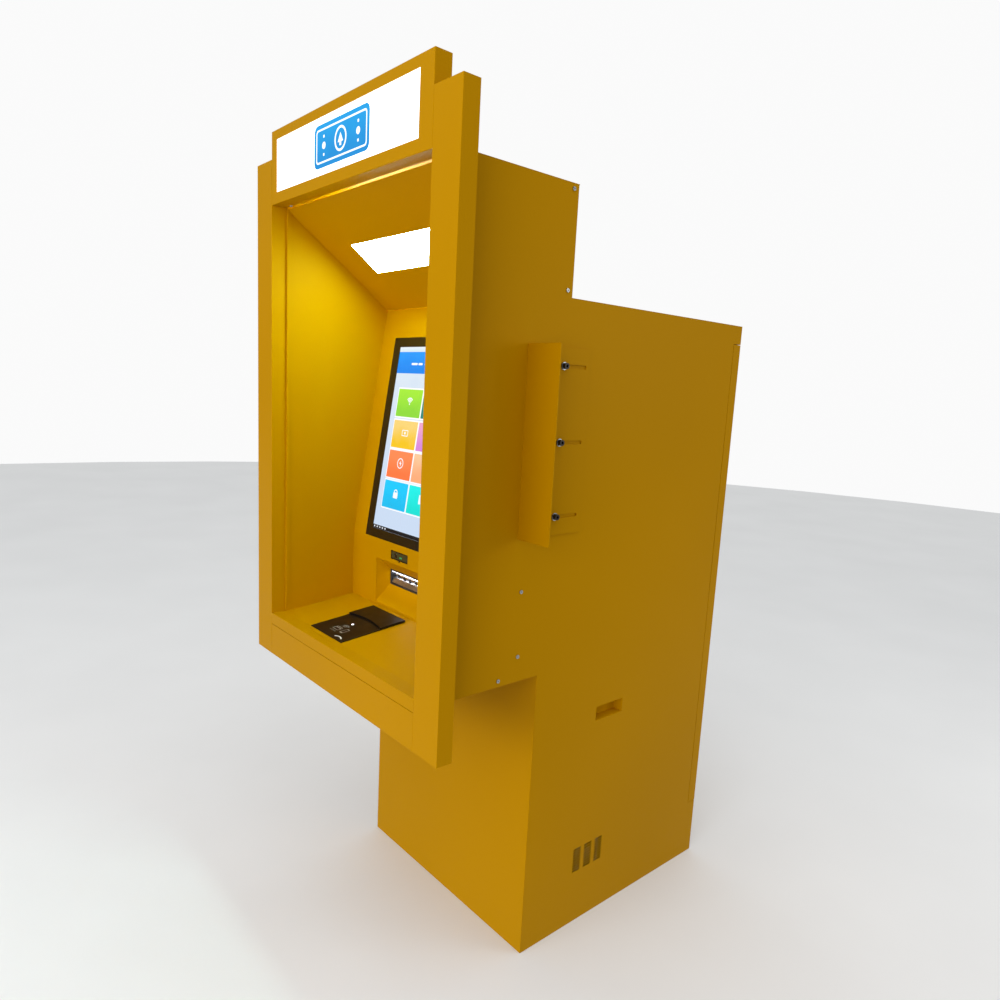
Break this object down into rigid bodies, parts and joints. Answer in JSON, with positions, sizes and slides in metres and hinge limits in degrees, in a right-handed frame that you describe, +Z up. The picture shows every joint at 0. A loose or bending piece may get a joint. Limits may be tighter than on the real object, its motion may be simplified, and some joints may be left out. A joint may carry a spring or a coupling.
{
  "type": "through-the-wall cash machine",
  "caption": "Tall yellow service cabinet with an alcove box, lit header and surround for a wall opening, leaning touch screen, note intake, shelf reader and rear service door.",
  "frame": {"origin": "centre of the cabinet's footprint, on the underside of the base plate (the centre of the floor anchor pattern)", "axes": "+Z up, -Y towards the user, +X to the right of a person facing the screen"},
  "size_m": [0.92, 1.1743, 2.11],
  "materials": {
    "cabinet_paint": "satin powder coat, fine orange peel",
    "light_panel": "opal acrylic, lit from behind",
    "led_bar": "extruded bar with LED lenses",
    "screen_picture": "bonded glass over a lit display",
    "screen_border": "black printed glass border",
    "scanner_black": "dark scanner window",
    "reader_black": "black gloss with fine grain",
    "dark_plastic": "textured moulding",
    "module_grey": "grey moulding",
    "heat_sink": "black anodised",
    "aluminium_case": "mill finish",
    "zinc_steel": "zinc plated",
    "pin_steel": "turned steel",
    "roller_steel": "ground rollers",
    "rubber_black": "matt rubber",
    "paper_white": "thermal paper"
  },
  "bodies": {
    "cabinet": {"base_plate": "cabinet_paint", "side_sheet_left": "cabinet_paint", "side_sheet_right": "cabinet_paint", "cabinet_front": "cabinet_paint", "cabinet_top": "cabinet_paint", "rear_top_band": "cabinet_paint", "rear_bottom_band": "cabinet_paint", "door_jambs": "zinc_steel", "hinge_pins": "pin_steel", "box_top": "cabinet_paint", "box_bottom": "cabinet_paint", "box_rear": "cabinet_paint", "post_left": "cabinet_paint", "post_right": "cabinet_paint", "header_box": "cabinet_paint", "header_diffuser": "light_panel", "header_leds": "led_bar", "apron": "cabinet_paint", "shelf": "cabinet_paint", "fascia": "cabinet_paint", "ceiling": "cabinet_paint", "alcove_light": "light_panel", "monitor_bezel": "screen_border", "touch_display": "screen_picture", "monitor_housing": "dark_plastic", "code_scanner": "scanner_black", "note_pocket": "cabinet_paint", "note_throat": "dark_plastic", "note_acceptor": "dark_plastic", "reader_body": "reader_black", "reader_hood": "reader_black", "card_bezel": "dark_plastic", "card_reader": "zinc_steel", "receipt_bezel": "dark_plastic", "receipt_printer": "module_grey", "hand_cups": "cabinet_paint", "fan_frame": "dark_plastic", "equipment_tray": "zinc_steel", "industrial_pc": "heat_sink", "power_supply": "aluminium_case", "cassette_rack": "zinc_steel", "wall_bolts": "zinc_steel", "side_screws": "zinc_steel", "cable_grommet": "rubber_black"},
    "door": {"door_skin": "cabinet_paint", "door_stiffeners": "zinc_steel", "door_seals": "rubber_black", "handle_plate": "zinc_steel", "lock_case": "zinc_steel"},
    "handle": {"door_handle": "dark_plastic", "lock_pinion": "pin_steel"},
    "rod_upper": {"lock_rod_upper": "zinc_steel"},
    "rod_lower": {"lock_rod_lower": "zinc_steel"},
    "bracket_left": {"wall_bracket_left": "cabinet_paint"},
    "bracket_right": {"wall_bracket_right": "cabinet_paint"},
    "cassette": {"cash_cassette": "dark_plastic"},
    "fan": {"fan_rotor": "dark_plastic"},
    "feed": {"feed_rollers": "roller_steel"},
    "pinch": {"pinch_rollers": "roller_steel"},
    "roll": {"paper_roll": "paper_white"}
  },
  "joints": [
    {"name": "door_hinge", "type": "hinge", "parent": "cabinet", "child": "door", "pos_m": [-0.343, 0.371, 0.9], "axis": [0, 0, 1], "range_deg": [0, 110]},
    {"name": "handle_turn", "type": "hinge", "parent": "door", "child": "handle", "pos_m": [0.255, 0.367, 0.9], "axis": [0, -1, 0], "range_deg": [0, 90]},
    {"name": "rod_upper_slide", "type": "slide", "parent": "door", "child": "rod_upper", "axis": [0, 0, 1], "range_m": [0, 0.0194]},
    {"name": "rod_lower_slide", "type": "slide", "parent": "door", "child": "rod_lower", "axis": [0, 0, -1], "range_m": [0, 0.0194]},
    {"name": "bracket_left_slide", "type": "slide", "parent": "cabinet", "child": "bracket_left", "axis": [0, 1, 0], "range_m": [-0.07, 0.07]},
    {"name": "bracket_right_slide", "type": "slide", "parent": "cabinet", "child": "bracket_right", "axis": [0, 1, 0], "range_m": [-0.07, 0.07]},
    {"name": "cassette_slide", "type": "slide", "parent": "cabinet", "child": "cassette", "axis": [0, 1, 0], "range_m": [0, 0.3]},
    {"name": "fan_spin", "type": "hinge", "parent": "cabinet", "child": "fan", "pos_m": [0.342, -0.139, 0.193], "axis": [1, 0, 0], "continuous": true},
    {"name": "feed_spin", "type": "hinge", "parent": "cabinet", "child": "feed", "pos_m": [-0.105, -0.442, 0.92725], "axis": [1, 0, 0], "continuous": true},
    {"name": "pinch_spin", "type": "hinge", "parent": "cabinet", "child": "pinch", "pos_m": [-0.105, -0.442, 0.91175], "axis": [1, 0, 0], "continuous": true},
    {"name": "roll_spin", "type": "hinge", "parent": "cabinet", "child": "roll", "pos_m": [0.215, -0.388, 1.04], "axis": [1, 0, 0], "continuous": true}
  ],
  "couplings": [
    {"joint": "rod_upper_slide", "follows": "handle_turn", "m_per_rad": 0.01225},
    {"joint": "rod_lower_slide", "follows": "handle_turn", "m_per_rad": 0.01225},
    {"joint": "pinch_spin", "follows": "feed_spin", "ratio": -1}
  ]
}
